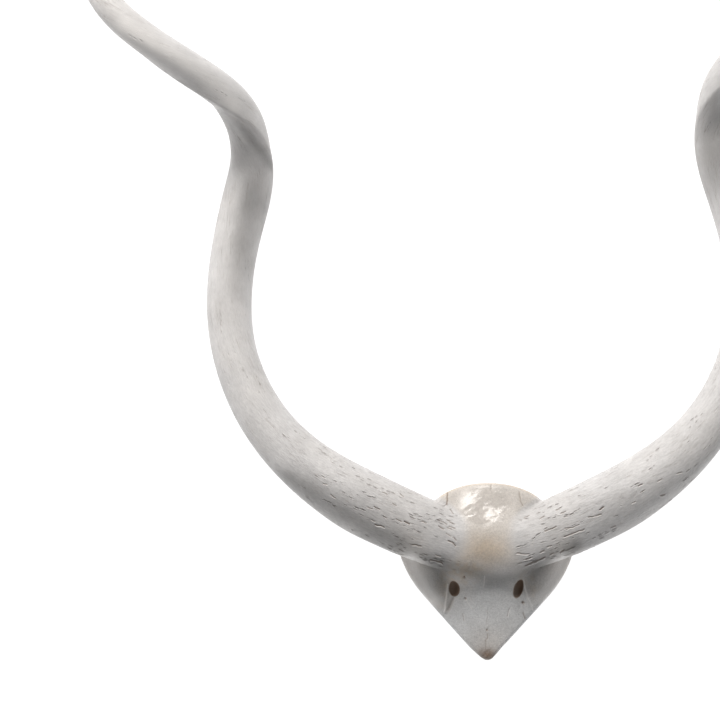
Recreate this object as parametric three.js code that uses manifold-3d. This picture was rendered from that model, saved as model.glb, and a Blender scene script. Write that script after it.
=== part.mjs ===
// The sawn skull cap of a spiral-horned antelope, bleached bone, with its two long corkscrew horns.
// Units are millimetres. The skull lies face up on its sawn back: +Z is up, +Y runs from the brow towards
// the horn tips and +X is to the right of someone who looks down at the face. The origin is on the sawn
// back, on the midline, level with the two small holes of the brow.
// The bone forks at the two horn roots, and there it is parted into the cap and the two horns.
import * as THREE from "three";
import { mergeVertices } from "three/addons/utils/BufferGeometryUtils.js";
import Module from "manifold-3d";

const wasm = await Module();
wasm.setup();

// The forehead from above: a wedge that narrows below the brow to a blunt point, the stump of the nose.
const FOREHEAD = {
  apex: -76.3, // where its two sides would meet
  halfAngle: 42.3,
  halfWidth: 88.5,
  cornerBlend: 28,
  offMidline: -1.2,
  tipRound: 4, // its tip is rounded, and leans to the right from there on
  tipFrom: -60,
  tipLean: 0.14,
  hiddenEnd: 69, // its hidden upper end, under the horns, on the midline
  hiddenSlant: 0.3,
  hiddenBlend: 20,
};

// The crown from above: a broad oval behind the horns, which narrows a little towards the sawn back.
const CROWN = {
  offMidline: 1.5,
  middle: 47.5,
  halfWidth: 68.5,
  halfLength: 54,
  squareness: 2.15,
  level: 70, // where it has the size given here
  undercut: 0.08,
};
const OUTLINE_BLEND = 14; // how softly the two outlines run together
const TOP_EDGE = 5; // the rounding of the edge all around the top
const BULGE = 0.0035; // how fast the top falls off to both sides

// The height of the skull along its midline, from the point over the steep brow to the back.
const CREST_START = -76;
const CREST_STEP = 14;
const CREST_HEIGHTS = [40.5, 43.3, 46.1, 49, 52, 54.8, 58.5, 71, 83, 84.5, 81, 76, 71, 66, 61];

// The roofs of the eye sockets: further out than the brow the top sinks to a gentle slope, with a valley
// under each horn.
const SOCKET_ROOF = {
  height: 53,
  at: -15,
  slope: 0.2,
  browInner: 30, // how far out the brow keeps its height, and where it has sunk to the roof
  browOuter: 64,
  depth: 11,
  inner: 29,
  outer: 52,
  lean: 0.3,
  fadeIn: [-46, -8],
  fadeOut: [25, 50],
};

// The rounding of the seam between skull and horns, which is wide on the brow and tight elsewhere.
const HORN_SEAM = { tight: 5, wide: 13, inner: 32, outer: 58, front: 55, back: 85 };

// The braincase, open where the back was sawn, and the two small holes of the brow.
const BRAINCASE = { at: [0, 54, 0], radii: [34, 37, 42] };
const BROW_HOLE = { out: 31, up: -2, height: 56, radii: [5.4, 9, 14], lean: 12 };

const SLOPE_SHARE = 0.87; // turns the height above a sloping face into the distance from it
const CAP_CELL = 6.3; // the grid over which the cap's surface is found
const CAP_BASE = -4; // the cap's forms reach this far down, and are then cut off flat at the ground
const CAP_BOUNDS = { min: [-114, -84, -8], max: [114, 112, 112] };

// Driving dimensions of a horn, from inside the root to the tip. Each station holds how far it lies out
// from the midline, up from the brow holes and above the ground, the horn's radius, the way that its
// keel faces (0 is away from the ground, 90 is inwards where the horn runs up) and the keel's strength.
const HORN_STATIONS = [
  { out: 17, up: 37, height: 53, radius: 28.5, keelAt: 20, keel: 0.2 },
  { out: 62, up: 55, height: 63, radius: 31, keelAt: 48, keel: 0.3 },
  { out: 105, up: 76, height: 72, radius: 31, keelAt: 70, keel: 0.35 },
  { out: 149, up: 100, height: 77, radius: 28.7, keelAt: 104, keel: 0.4 },
  { out: 189, up: 129, height: 75, radius: 24.6, keelAt: 146, keel: 0.5 },
  { out: 229, up: 180, height: 63, radius: 22.1, keelAt: 182, keel: 0.65 },
  { out: 253, up: 255, height: 46, radius: 22.4, keelAt: 214, keel: 0.8 },
  { out: 248, up: 332, height: 30, radius: 21.7, keelAt: 237, keel: 0.95 },
  { out: 235, up: 386, height: 19, radius: 22.8, keelAt: 250, keel: 1 },
  { out: 231, up: 417, height: 24, radius: 18.5, keelAt: 270, keel: 1 },
  { out: 230, up: 449, height: 50, radius: 18.4, keelAt: 330, keel: 1 },
  { out: 255, up: 479, height: 94, radius: 16.4, keelAt: 408, keel: 1 },
  { out: 298, up: 505, height: 125, radius: 14.2, keelAt: 463, keel: 1 },
  { out: 334, up: 529, height: 138, radius: 14.2, keelAt: 505, keel: 0.9 },
  { out: 357, up: 554, height: 136, radius: 13.3, keelAt: 550, keel: 0.8 },
  { out: 381, up: 597, height: 127, radius: 11.5, keelAt: 596, keel: 0.7 },
  { out: 393, up: 647, height: 122, radius: 8.7, keelAt: 637, keel: 0.6 },
  { out: 391, up: 696, height: 126, radius: 5.3, keelAt: 677, keel: 0.5 },
];
const HORN_END = HORN_STATIONS.length - 1;

// The two horns are not twins: the right one grew longer and slimmer, and leans in over its first legs.
const LEFT_HORN = { side: -1, growth: 1, girth: 1, leanIn: 0 };
const RIGHT_HORN = { side: 1, growth: 1.05, girth: 0.965, leanIn: 3.5 };
const LEAN_LEGS = 4;
const HORN_RINGS = 56;
const RING_POINTS = 20;
const TIP_LENGTH = 0.35; // the rounded tip, in stations
const TIP_TURNS = [0, 35, 62, 82];
const FORK_AT = 1.2; // the station at which a horn leaves the cap
const FORK_GAP = 0.3;
const ROOT_END = 1.5; // where the cap's forms stop following a horn, past the fork
const ROOT_SLICES = 28;

// The lobes of a horn's section, by the angle from the keel: the keel itself, two softer ridges and the
// hollow flank beside the keel. Each has its rise as a share of the radius and its width in degrees.
const SECTION_LOBES = [
  { at: 0, rise: 0.13, width: 26 },
  { at: -105, rise: 0.05, width: 30 },
  { at: 128, rise: 0.05, width: 26 },
  { at: 62, rise: -0.13, width: 34 },
];

const { degToRad, radToDeg, smoothstep, clamp, euclideanModulo } = THREE.MathUtils;

// A smooth curve pulled along by a row of numbers: a uniform cubic B-spline.
function alongNumbers(numbers, t) {
  const last = numbers.length - 1;
  const first = clamp(Math.floor(t), 0, last - 1);
  const u = t - first;
  const weights = [(1 - u) ** 3, 3 * u ** 3 - 6 * u ** 2 + 4, -3 * u ** 3 + 3 * u ** 2 + 3 * u + 1, u ** 3];
  const numberAt = (i) => {
    if (i < 0) return 2 * numbers[0] - numbers[1];
    if (i > last) return 2 * numbers[last] - numbers[last - 1];
    return numbers[i];
  };
  return weights.reduce((sum, weight, k) => sum + (weight * numberAt(first - 1 + k)) / 6, 0);
}

// The same curve over every named column of a list of stations.
function along(stations, t) {
  const value = {};
  for (const key of Object.keys(stations[0])) {
    value[key] = alongNumbers(stations.map((station) => station[key]), t);
  }
  return value;
}

// The stations of one horn, grown leg by leg from the shared ones.
function grow(horn) {
  const point = new THREE.Vector2(HORN_STATIONS[0].out, HORN_STATIONS[0].up);
  return HORN_STATIONS.map((station, i) => {
    if (i > 0) {
      const before = HORN_STATIONS[i - 1];
      const leg = new THREE.Vector2(station.out - before.out, station.up - before.up);
      const lean = degToRad(horn.leanIn * Math.min(1, (i - 1) / LEAN_LEGS));
      point.add(leg.multiplyScalar(horn.growth).rotateAround(new THREE.Vector2(), lean));
    }
    const thinner = station.radius * (1 - horn.girth);
    return {
      ...station,
      out: point.x,
      up: point.y,
      height: station.height - thinner,
      radius: station.radius - thinner,
    };
  });
}

for (const horn of [LEFT_HORN, RIGHT_HORN]) horn.stations = grow(horn);

function hornCentre(horn, t) {
  const s = along(horn.stations, t);
  return new THREE.Vector3(horn.side * s.out, s.up, s.height);
}

// Where a horn is at t, the way it grows there, and the two directions across it.
function hornFrame(horn, t) {
  const { radius, keelAt, keel } = along(horn.stations, t);
  const step = 1e-3;
  const ahead = hornCentre(horn, t + step).sub(hornCentre(horn, t - step)).normalize();
  const away = new THREE.Vector3(0, 0, 1).addScaledVector(ahead, -ahead.z).normalize();
  const aside = new THREE.Vector3().crossVectors(away, ahead).multiplyScalar(-horn.side);
  return { centre: hornCentre(horn, t), ahead, away, aside, radius, keelAt, keel };
}

// How far a horn's surface lies from its centre, by the angle from the side that faces up.
function sectionRadius(frame, turn) {
  let swell = 1;
  for (const lobe of SECTION_LOBES) {
    const apart = euclideanModulo(turn - frame.keelAt - lobe.at + 180, 360) - 180;
    swell += frame.keel * lobe.rise * Math.exp(-((apart / lobe.width) ** 2));
  }
  return frame.radius * swell;
}

function hornRing(horn, t, share = 1) {
  const frame = hornFrame(horn, t);
  const ring = [];
  for (let j = 0; j < RING_POINTS; j++) {
    const turn = frame.keelAt + (360 * j) / RING_POINTS;
    const reach = share * sectionRadius(frame, turn);
    const point = frame.centre.clone();
    point.addScaledVector(frame.away, reach * Math.cos(degToRad(turn)));
    point.addScaledVector(frame.aside, reach * Math.sin(degToRad(turn)));
    point.z = Math.max(point.z, 0);
    ring.push(point);
  }
  return ring;
}

// A closed mesh over a row of rings with equally many points, with a fan over each end.
function loft(rings) {
  const count = rings[0].length;
  const middle = (ring) => ring.reduce((sum, p) => sum.add(p), new THREE.Vector3()).divideScalar(count);
  const points = [...rings.flat(), middle(rings[0]), middle(rings[rings.length - 1])];
  const startFan = points.length - 2;
  const endFan = points.length - 1;
  const lastRing = (rings.length - 1) * count;
  const faces = [];
  for (let j = 0; j < count; j++) {
    const next = (j + 1) % count;
    for (let i = 0; i < lastRing; i += count) {
      faces.push(i + j, i + next, i + count + next, i + j, i + count + next, i + count + j);
    }
    faces.push(startFan, next, j, endFan, lastRing + j, lastRing + next);
  }
  return new THREE.BufferGeometry().setFromPoints(points).setIndex(faces);
}

// A closed three.js geometry as a manifold-3d solid with its faces outwards, and back again.
function solidOf(geometry) {
  const bare = geometry.clone();
  bare.deleteAttribute("normal");
  bare.deleteAttribute("uv");
  const merged = mergeVertices(bare, 1e-4);
  const solid = new wasm.Manifold(
    new wasm.Mesh({
      numProp: 3,
      vertProperties: new Float32Array(merged.attributes.position.array),
      triVerts: new Uint32Array(merged.index.array),
    }),
  );
  if (solid.volume() > 0) return solid;
  const turned = [...merged.index.array];
  for (let i = 0; i < turned.length; i += 3) {
    [turned[i], turned[i + 1]] = [turned[i + 1], turned[i]];
  }
  return solidOf(merged.setIndex(turned));
}

function geometryOf(solid) {
  const mesh = solid.getMesh();
  const geometry = new THREE.BufferGeometry();
  geometry.setAttribute("position", new THREE.BufferAttribute(new Float32Array(mesh.vertProperties), 3));
  geometry.setIndex(new THREE.BufferAttribute(new Uint32Array(mesh.triVerts), 1));
  geometry.computeVertexNormals();
  return geometry;
}

function hornGeometry(horn) {
  const bodyEnd = HORN_END - TIP_LENGTH;
  const rings = [];
  for (let i = 0; i < HORN_RINGS; i++) {
    rings.push(hornRing(horn, FORK_AT + ((bodyEnd - FORK_AT) * i) / HORN_RINGS));
  }
  for (const turn of TIP_TURNS) {
    const t = HORN_END - TIP_LENGTH * (1 - Math.sin(degToRad(turn)));
    rings.push(hornRing(horn, t, Math.cos(degToRad(turn))));
  }
  return geometryOf(solidOf(loft(rings)));
}

// The lesser or greater of two distances, rounded where they meet.
function softMin(a, b, blend) {
  const overlap = Math.max(blend - Math.abs(a - b), 0) / blend;
  return Math.min(a, b) - (overlap * overlap * blend) / 4;
}

const softMax = (a, b, blend) => -softMin(-a, -b, blend);

// How far a point lies outside the outline of the skull as seen from above.
function outlineDistance([x, y, z]) {
  const f = FOREHEAD;
  const c = CROWN;
  const aside = Math.abs(x - f.offMidline - f.tipLean * Math.max(f.tipFrom - y, 0));
  const slant = degToRad(f.halfAngle);
  const rounded = Math.cbrt(aside ** 3 + f.tipRound ** 3);
  let outline = rounded * Math.cos(slant) - (y - f.apex) * Math.sin(slant);
  outline = softMax(outline, aside - f.halfWidth, f.cornerBlend);
  outline = softMax(outline, y - f.hiddenEnd + f.hiddenSlant * aside, f.hiddenBlend);
  const across = (Math.abs(x - c.offMidline) / c.halfWidth) ** c.squareness;
  const lengthwise = (Math.abs(y - c.middle) / c.halfLength) ** c.squareness;
  const rim = ((across + lengthwise) ** (1 / c.squareness) - 1) * c.halfLength;
  return softMin(outline, rim + c.undercut * (c.level - z), OUTLINE_BLEND);
}

// The height of the top: the crest on the midline and the brow beside it, the low roofs further out.
function topHeight(x, y) {
  const s = SOCKET_ROOF;
  const crest = alongNumbers(CREST_HEIGHTS, (y - CREST_START) / CREST_STEP);
  const roof = s.height + s.slope * (y - s.at);
  const keep = crest > roof ? 1 - smoothstep(Math.abs(x), s.browInner, s.browOuter) : 1;
  const valley = smoothstep(Math.abs(x) + s.lean * y, s.inner, s.outer);
  const reach = smoothstep(y, ...s.fadeIn) * (1 - smoothstep(y, ...s.fadeOut));
  return roof + keep * (crest - roof) - BULGE * x * x - s.depth * valley * reach;
}

function skullDistance([x, y, z]) {
  return softMax(outlineDistance([x, y, z]), SLOPE_SHARE * (z - topHeight(x, y)), TOP_EDGE);
}

function seamBlend([x, y]) {
  const s = HORN_SEAM;
  const brow = (1 - smoothstep(Math.abs(x), s.inner, s.outer)) * (1 - smoothstep(y, s.front, s.back));
  return s.tight + (s.wide - s.tight) * brow;
}

// The root of a horn, as slices across it. The nearest slice gives the distance to its surface, and the
// last one cuts it off.
function rootSlices(horn) {
  const slices = [];
  for (let i = 0; i < ROOT_SLICES; i++) {
    slices.push(hornFrame(horn, (ROOT_END * i) / (ROOT_SLICES - 1)));
  }
  return slices;
}

function rootDistance(p, slices) {
  const rel = new THREE.Vector3();
  let nearest = slices[0];
  let least = Infinity;
  for (const slice of slices) {
    const lengthwise = Math.abs(rel.set(...p).sub(slice.centre).dot(slice.ahead));
    if (lengthwise < least) {
      least = lengthwise;
      nearest = slice;
    }
  }
  rel.set(...p).sub(nearest.centre);
  if (rel.dot(slices[0].ahead) < 0 && nearest === slices[0]) return rel.length() - nearest.radius;
  const up = rel.dot(nearest.away);
  const aside = rel.dot(nearest.aside);
  const beside = Math.hypot(up, aside) - sectionRadius(nearest, radToDeg(Math.atan2(aside, up)));
  return nearest === slices[ROOT_SLICES - 1] ? Math.max(beside, rel.dot(nearest.ahead)) : beside;
}

// The corners of a grid, and the edges of one of its cells as pairs of corners.
function* gridCorners([columns, rows, layers]) {
  for (let k = 0; k < layers; k++) {
    for (let j = 0; j < rows; j++) {
      for (let i = 0; i < columns; i++) yield [i, j, k];
    }
  }
}

const CELL_CORNERS = [...gridCorners([2, 2, 2])];
const CELL_EDGES = CELL_CORNERS.flatMap((start) =>
  [0, 1, 2].filter((axis) => start[axis] === 0).map((axis) => [start, start.with(axis, 1)]),
);

const sumOf = (a, b) => a.map((value, axis) => value + b[axis]);

// Moves a point onto the surface where a distance is nought, along the way it grows fastest.
function ontoSurface(point, distance) {
  const step = 1e-3;
  for (let round = 0; round < 3; round++) {
    const here = distance(point.toArray());
    const slope = new THREE.Vector3();
    for (let axis = 0; axis < 3; axis++) {
      const beside = point.clone().setComponent(axis, point.getComponent(axis) + step);
      slope.setComponent(axis, (distance(beside.toArray()) - here) / step);
    }
    point.addScaledVector(slope, -here / slope.lengthSq());
  }
  return point;
}

// The closed surface where a distance is nought: one point in each cell of a grid that the surface
// passes through, and two triangles around each edge of the grid that it crosses.
function surfaceGeometry(distance, { min, max }, cell) {
  const size = max.map((end, axis) => Math.ceil((end - min[axis]) / cell) + 1);
  const number = ([i, j, k]) => i + size[0] * (j + size[1] * k);
  const place = (corner) => new THREE.Vector3(...min).addScaledVector(new THREE.Vector3(...corner), cell);
  const values = Float64Array.from(gridCorners(size), (corner) => distance(place(corner).toArray()));
  const isInside = (corner) => values[number(corner)] < 0;

  const points = [];
  const pointIn = new Map();
  for (const corner of gridCorners(size.map((count) => count - 1))) {
    const crossings = [];
    for (const edge of CELL_EDGES) {
      const [start, end] = edge.map((offset) => sumOf(corner, offset));
      if (isInside(start) === isInside(end)) continue;
      const [near, far] = [values[number(start)], values[number(end)]];
      crossings.push(place(start).lerp(place(end), near / (near - far)));
    }
    if (crossings.length === 0) continue;
    const middle = crossings.reduce((sum, p) => sum.add(p)).divideScalar(crossings.length);
    pointIn.set(number(corner), points.push(ontoSurface(middle, distance)) - 1);
  }

  const faces = [];
  for (const start of gridCorners(size.map((count) => count - 1))) {
    for (let axis = 0; axis < 3; axis++) {
      const end = start.with(axis, start[axis] + 1);
      if (isInside(start) === isInside(end)) continue;
      const [b, c] = [(axis + 1) % 3, (axis + 2) % 3];
      const beside = start.with(b, start[b] - 1);
      const around = [start, beside, beside.with(c, start[c] - 1), start.with(c, start[c] - 1)];
      let quad = around.map((corner) => pointIn.get(number(corner)));
      if (!isInside(start)) quad = quad.reverse();
      const [p, q, r, s] = quad.map((index) => points[index]);
      if (p.distanceTo(r) > q.distanceTo(s)) quad = [...quad.slice(1), quad[0]];
      faces.push(quad[0], quad[1], quad[2], quad[0], quad[2], quad[3]);
    }
  }
  return new THREE.BufferGeometry().setFromPoints(points).setIndex(faces);
}

// An egg-shaped cutter that leans sideways.
function egg(at, radii, lean) {
  const turn = new THREE.Quaternion().setFromEuler(new THREE.Euler(0, degToRad(lean), 0));
  const matrix = new THREE.Matrix4().compose(new THREE.Vector3(...at), turn, new THREE.Vector3(...radii));
  return solidOf(new THREE.SphereGeometry(1, 16, 12).applyMatrix4(matrix));
}

function capGeometry() {
  const roots = [LEFT_HORN, RIGHT_HORN].map(rootSlices);
  const distanceTo = (p) => {
    let distance = skullDistance(p);
    for (const slices of roots) distance = softMin(distance, rootDistance(p, slices), seamBlend(p));
    return Math.max(distance, CAP_BASE - p[2]);
  };
  let cap = solidOf(surfaceGeometry(distanceTo, CAP_BOUNDS, CAP_CELL));
  cap = cap.trimByPlane([0, 0, 1], 0);
  for (const horn of [LEFT_HORN, RIGHT_HORN]) {
    const { centre, ahead } = hornFrame(horn, FORK_AT);
    cap = cap.trimByPlane(ahead.clone().negate().toArray(), FORK_GAP - centre.dot(ahead));
  }
  cap = cap.subtract(egg(BRAINCASE.at, BRAINCASE.radii, 0));
  for (const side of [-1, 1]) {
    const at = [side * BROW_HOLE.out, BROW_HOLE.up, BROW_HOLE.height];
    cap = cap.subtract(egg(at, BROW_HOLE.radii, side * BROW_HOLE.lean));
  }
  return geometryOf(cap);
}

const bone = (color) => new THREE.MeshStandardMaterial({ color, roughness: 0.38, metalness: 0 });

const capMesh = new THREE.Mesh(capGeometry(), bone(0xd2cbc4));
capMesh.name = "skull_cap";

const leftHorn = new THREE.Mesh(hornGeometry(LEFT_HORN), bone(0xd8d5d1));
leftHorn.name = "left_horn";

const rightHorn = new THREE.Mesh(hornGeometry(RIGHT_HORN), bone(0xd8d5d1));
rightHorn.name = "right_horn";

const skull = new THREE.Group();
skull.name = "antelope_skull";
skull.add(capMesh, leftHorn, rightHorn);

export default skull;
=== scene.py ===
"""Looks of a sawn antelope skull cap with two spiral horns: bleached, softly polished bone.

The forms are worked out in millimetres, in the part's own frame: +Z out of the face, +Y from the brow
towards the horn tips, +X to the right of someone who looks down at the face, origin on the sawn back.
They repeat the driving dimensions of the solids and add the fine surface: pores, grain, cracks, scars.
"""
import math

import bpy
import numpy as np
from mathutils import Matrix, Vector


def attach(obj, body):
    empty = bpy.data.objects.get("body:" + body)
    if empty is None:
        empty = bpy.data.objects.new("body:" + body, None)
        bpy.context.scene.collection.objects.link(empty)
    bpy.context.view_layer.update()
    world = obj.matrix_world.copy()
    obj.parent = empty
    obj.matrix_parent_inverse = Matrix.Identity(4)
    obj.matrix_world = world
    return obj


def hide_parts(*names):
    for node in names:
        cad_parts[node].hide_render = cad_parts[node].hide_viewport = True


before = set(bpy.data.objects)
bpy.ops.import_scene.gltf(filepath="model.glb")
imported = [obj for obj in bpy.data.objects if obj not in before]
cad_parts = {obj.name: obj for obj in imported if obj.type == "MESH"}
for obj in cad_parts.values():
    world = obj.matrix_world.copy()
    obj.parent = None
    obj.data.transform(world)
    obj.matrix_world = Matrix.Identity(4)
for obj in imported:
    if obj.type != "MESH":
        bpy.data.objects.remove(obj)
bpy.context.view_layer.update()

MM = 0.001

# Camera: straight down on the middle of the picture, turned a little about Y.
CAMERA_AT = (0.0, 217.075, 1985.546)
CAMERA_TURN = 3.618367
LENS_MM = 100
SENSOR_MM = 36
BROW_LEVEL = 70.0  # marks are placed as the camera sees them against this level

# The skull: its outline in front and behind, the roofs of the eye sockets, and its height along the middle.
FOREHEAD = dict(
    apex=-76.3, half_angle=42.3, half_width=88.5, corner_blend=28, off_midline=-1.2,
    tip_round=4, tip_from=-60, tip_lean=0.14, hidden_end=69, hidden_slant=0.3, hidden_blend=20,
)
CROWN = dict(
    off_midline=1.5, middle=47.5, half_width=68.5, half_length=54, squareness=2.15, level=70, undercut=0.08,
)
SOCKET_ROOF = dict(
    height=53, at=-15, slope=0.2, inner=30, outer=64,
    depth=7, drop_inner=29, drop_outer=48, lean=0.3, fade_in=(-46, -8), fade_out=(25, 50),
    rim=(-30, -8),
)
CREST_START = -76
CREST_STEP = 14
CREST_HEIGHTS = (43, 45.2, 47.4, 49.7, 52.1, 54.8, 58.5, 71, 83, 84.5, 81, 76, 71, 66, 61)
CROWN_GROOVE = dict(at=-3, width=8, depth=0.9, fade_in=(50, 68))
# Two places on the crown that tilt towards the light: where, how wide and long, and how much they tilt.
CROWN_TILTS = (
    dict(at=(-16, 86), radii=(14, 16), tilt=-0.19),
    dict(at=(9, 71), radii=(17, 15), tilt=-0.19),
)
BULGE = 0.0035
OUTLINE_BLEND = 14
TOP_EDGE = 4.5  # rounding of the top's edge
# Rounding of the seam to the horns, which is wide on the brow and tight on the flaps and behind.
HORN_SEAM = dict(tight=1.5, wide=13, inner=32, outer=58, front=55, back=85)
BRAINCASE = dict(at=(0, 54, 0), radii=(34, 37, 42))
SLOPE_SHARE = 0.87

# Stations of a horn: out, up, height, radius, the way its keel faces in degrees and the keel's strength.
HORN_STATIONS = np.array([
    (17, 37, 53, 28.5, 20, 0.2),
    (62, 55, 63, 31, 48, 0.3),
    (105, 76, 72, 31, 70, 0.35),
    (149, 100, 77, 28.7, 104, 0.4),
    (189, 129, 75, 24.6, 146, 0.5),
    (229, 180, 63, 22.1, 182, 0.65),
    (253, 255, 46, 22.4, 214, 0.8),
    (248, 332, 30, 21.7, 237, 0.95),
    (235, 386, 19, 22.8, 250, 1),
    (231, 417, 24, 18.5, 270, 1),
    (230, 449, 50, 18.4, 330, 1),
    (255, 479, 94, 16.4, 408, 1),
    (298, 505, 125, 14.2, 463, 0.8),
    (334, 529, 138, 14.2, 505, 0.45),
    (357, 554, 136, 13.3, 550, 0.3),
    (381, 597, 127, 11.5, 596, 0.3),
    (393, 647, 122, 8.7, 637, 0.3),
    (391, 696, 126, 5.3, 677, 0.3),
])
HORN_END = len(HORN_STATIONS) - 1
LEAN_LEGS = 4
HORNS = {
    "left_horn": dict(side=-1, growth=1.0, girth=1.0, lean_in=0.0, seed=11),
    "right_horn": dict(side=1, growth=1.05, girth=0.965, lean_in=3.5, seed=23),
}
# Lobes of a horn's section: angle from the keel, rise as a share of the radius, width in degrees.
SECTION_LOBES = ((0, 0.11, 26), (0, 0.05, 9), (-105, 0.05, 30), (128, 0.05, 26), (62, -0.14, 34))
TIP_LENGTH = 0.35


# Maths shared by all forms.

def soft_min(a, b, blend):
    """The lesser of two distances, rounded where they meet."""
    overlap = np.maximum(blend - np.abs(a - b), 0) / blend
    return np.minimum(a, b) - overlap * overlap * blend / 4


def soft_max(a, b, blend):
    return -soft_min(-a, -b, blend)


def smooth_step(x, start, end):
    share = np.clip((x - start) / (end - start), 0, 1)
    return share * share * (3 - 2 * share)


def smooth_spot(at, centre, radii):
    """1 in the middle of an oval, falling off smoothly to 0 around it."""
    return np.exp(-np.sum(((at - np.array(centre)) / np.array(radii)) ** 2, axis=1))


def ellipsoid_distance(p, at, radii):
    scaled = (p - np.array(at)) / np.array(radii)
    reach = np.linalg.norm(scaled, axis=-1)
    slope = np.linalg.norm(scaled / np.array(radii), axis=-1)
    return reach * (reach - 1) / np.maximum(slope, 1e-9)


def capsule_distance(p, start, end, start_radius, end_radius):
    """Distance from a rounded stick that may taper."""
    start, end = np.array(start, float), np.array(end, float)
    leg = end - start
    share = np.clip((p - start) @ leg / (leg @ leg), 0, 1)
    off = np.linalg.norm(p - start - share[..., None] * leg, axis=-1)
    return off - (start_radius + (end_radius - start_radius) * share)


def cloud(p, size, seed):
    """Smooth random values from -1 to 1 that change over a given size."""
    span = 32
    table = np.random.default_rng(seed).uniform(-1, 1, (span, span, span))
    q = p / size + 0.37 * seed
    base = np.floor(q).astype(int)
    f = q - base
    f = f * f * (3 - 2 * f)
    total = np.zeros(len(p))
    for corner in np.ndindex(2, 2, 2):
        weight = np.prod(np.where(corner, f, 1 - f), axis=1)
        i, j, k = ((base + corner) % span).T
        total += weight * table[i, j, k]
    return total


def seen(p):
    """Where the lines of sight through points cross the level of the brow."""
    eye = np.array(CAMERA_AT)
    stretch = (eye[2] - BROW_LEVEL) / (eye[2] - p[:, 2])
    return eye[:2] + (p[:, :2] - eye[:2]) * stretch[:, None]


# The horns.

def along(stations, t):
    """A smooth curve pulled along by stations: a uniform cubic B-spline over every column."""
    ends = [2 * stations[0] - stations[1], 2 * stations[-1] - stations[-2]]
    padded = np.vstack([ends[0], stations, ends[1]])
    t = np.asarray(t, float)
    first = np.clip(np.floor(t).astype(int), 0, len(stations) - 2)
    u = (t - first)[:, None]
    weights = ((1 - u) ** 3, 3 * u ** 3 - 6 * u ** 2 + 4, -3 * u ** 3 + 3 * u ** 2 + 3 * u + 1, u ** 3)
    return sum(weight * padded[first + k] for k, weight in enumerate(weights)) / 6


def grow(horn):
    """The stations of one horn, grown leg by leg from the shared ones."""
    stations = HORN_STATIONS.copy()
    legs = np.diff(HORN_STATIONS[:, :2], axis=0) * horn["growth"]
    for i, (out, up) in enumerate(legs, start=1):
        lean = math.radians(horn["lean_in"] * min(1, (i - 1) / LEAN_LEGS))
        turned = (out * math.cos(lean) - up * math.sin(lean), out * math.sin(lean) + up * math.cos(lean))
        stations[i, :2] = stations[i - 1, :2] + turned
    thinner = HORN_STATIONS[:, 3] * (1 - horn["girth"])
    stations[:, 2] -= thinner
    stations[:, 3] -= thinner
    return stations


def horn_frames(horn, t):
    """Rows of centre, ahead, away, aside (3 numbers each), radius, keel angle and keel strength."""
    def centre(at):
        values = along(horn["stations"], at)[:, :3].copy()
        values[:, 0] *= horn["side"]
        return values
    t = np.asarray(t, float)
    step = 1e-3
    ahead = centre(t + step) - centre(t - step)
    ahead /= np.linalg.norm(ahead, axis=1)[:, None]
    away = np.array([0, 0, 1.0]) - ahead * ahead[:, 2:]
    away /= np.linalg.norm(away, axis=1)[:, None]
    aside = np.cross(away, ahead) * -horn["side"]
    return np.hstack([centre(t), ahead, away, aside, along(horn["stations"], t)[:, 3:6]])


def section_swell(turn, keel_at, keel):
    swell = np.ones(np.broadcast(turn, keel_at).shape)
    for at, rise, width in SECTION_LOBES:
        apart = (turn - keel_at - at + 180) % 360 - 180
        swell = swell + keel * rise * np.exp(-((apart / width) ** 2))
    return swell


GRAIN_SHARE = 0.15
ROOT_TABLE = np.linspace(0, 1.9, 96)
PLACE_TABLE = np.linspace(0, HORN_END, 6000)


def prepare(horn):
    """Tables along a horn: its length in millimetres and the way its grain has wound, in degrees."""
    horn["stations"] = grow(horn)
    horn["root"] = horn_frames(horn, ROOT_TABLE)
    rows = horn_frames(horn, PLACE_TABLE)
    steps = np.linalg.norm(np.diff(rows[:, :3], axis=0), axis=1)
    horn["length"] = np.concatenate([[0], np.cumsum(steps)])
    share = GRAIN_SHARE + (1 - GRAIN_SHARE) * smooth_step(PLACE_TABLE, 2.5, 7)
    horn["wound"] = np.cumsum(share * np.diff(rows[:, 13], prepend=rows[0, 13]))


for horn in HORNS.values():
    prepare(horn)


def near_root(p, horn):
    """How far along a horn's root points lie, at which turn around it, and how far outside its surface."""
    rows = horn["root"]
    centres, ahead = rows[:, :3], rows[:, 3:6]
    lengthwise = p @ ahead.T - np.sum(centres * ahead, axis=1)
    nearest = np.argmin(np.abs(lengthwise), axis=1)
    gap = np.linalg.norm(centres[1] - centres[0])
    place = nearest + lengthwise[np.arange(len(p)), nearest] / gap
    place = np.clip(place, 0, len(rows) - 1.001)
    lower = np.floor(place).astype(int)
    share = (place - lower)[:, None]
    row = rows[lower] * (1 - share) + rows[lower + 1] * share
    rel = p - row[:, :3]
    up = np.sum(rel * row[:, 6:9], axis=1)
    side = np.sum(rel * row[:, 9:12], axis=1)
    turn = np.degrees(np.arctan2(side, up))
    beside = np.hypot(up, side) - row[:, 12] * section_swell(turn, row[:, 13], row[:, 14])
    behind = (place <= 0) & (lengthwise[:, 0] < 0)
    beside = np.where(behind, np.linalg.norm(p - centres[0], axis=1) - rows[0, 12], beside)
    return place * ROOT_TABLE[1], turn, beside


# The skull.

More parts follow.
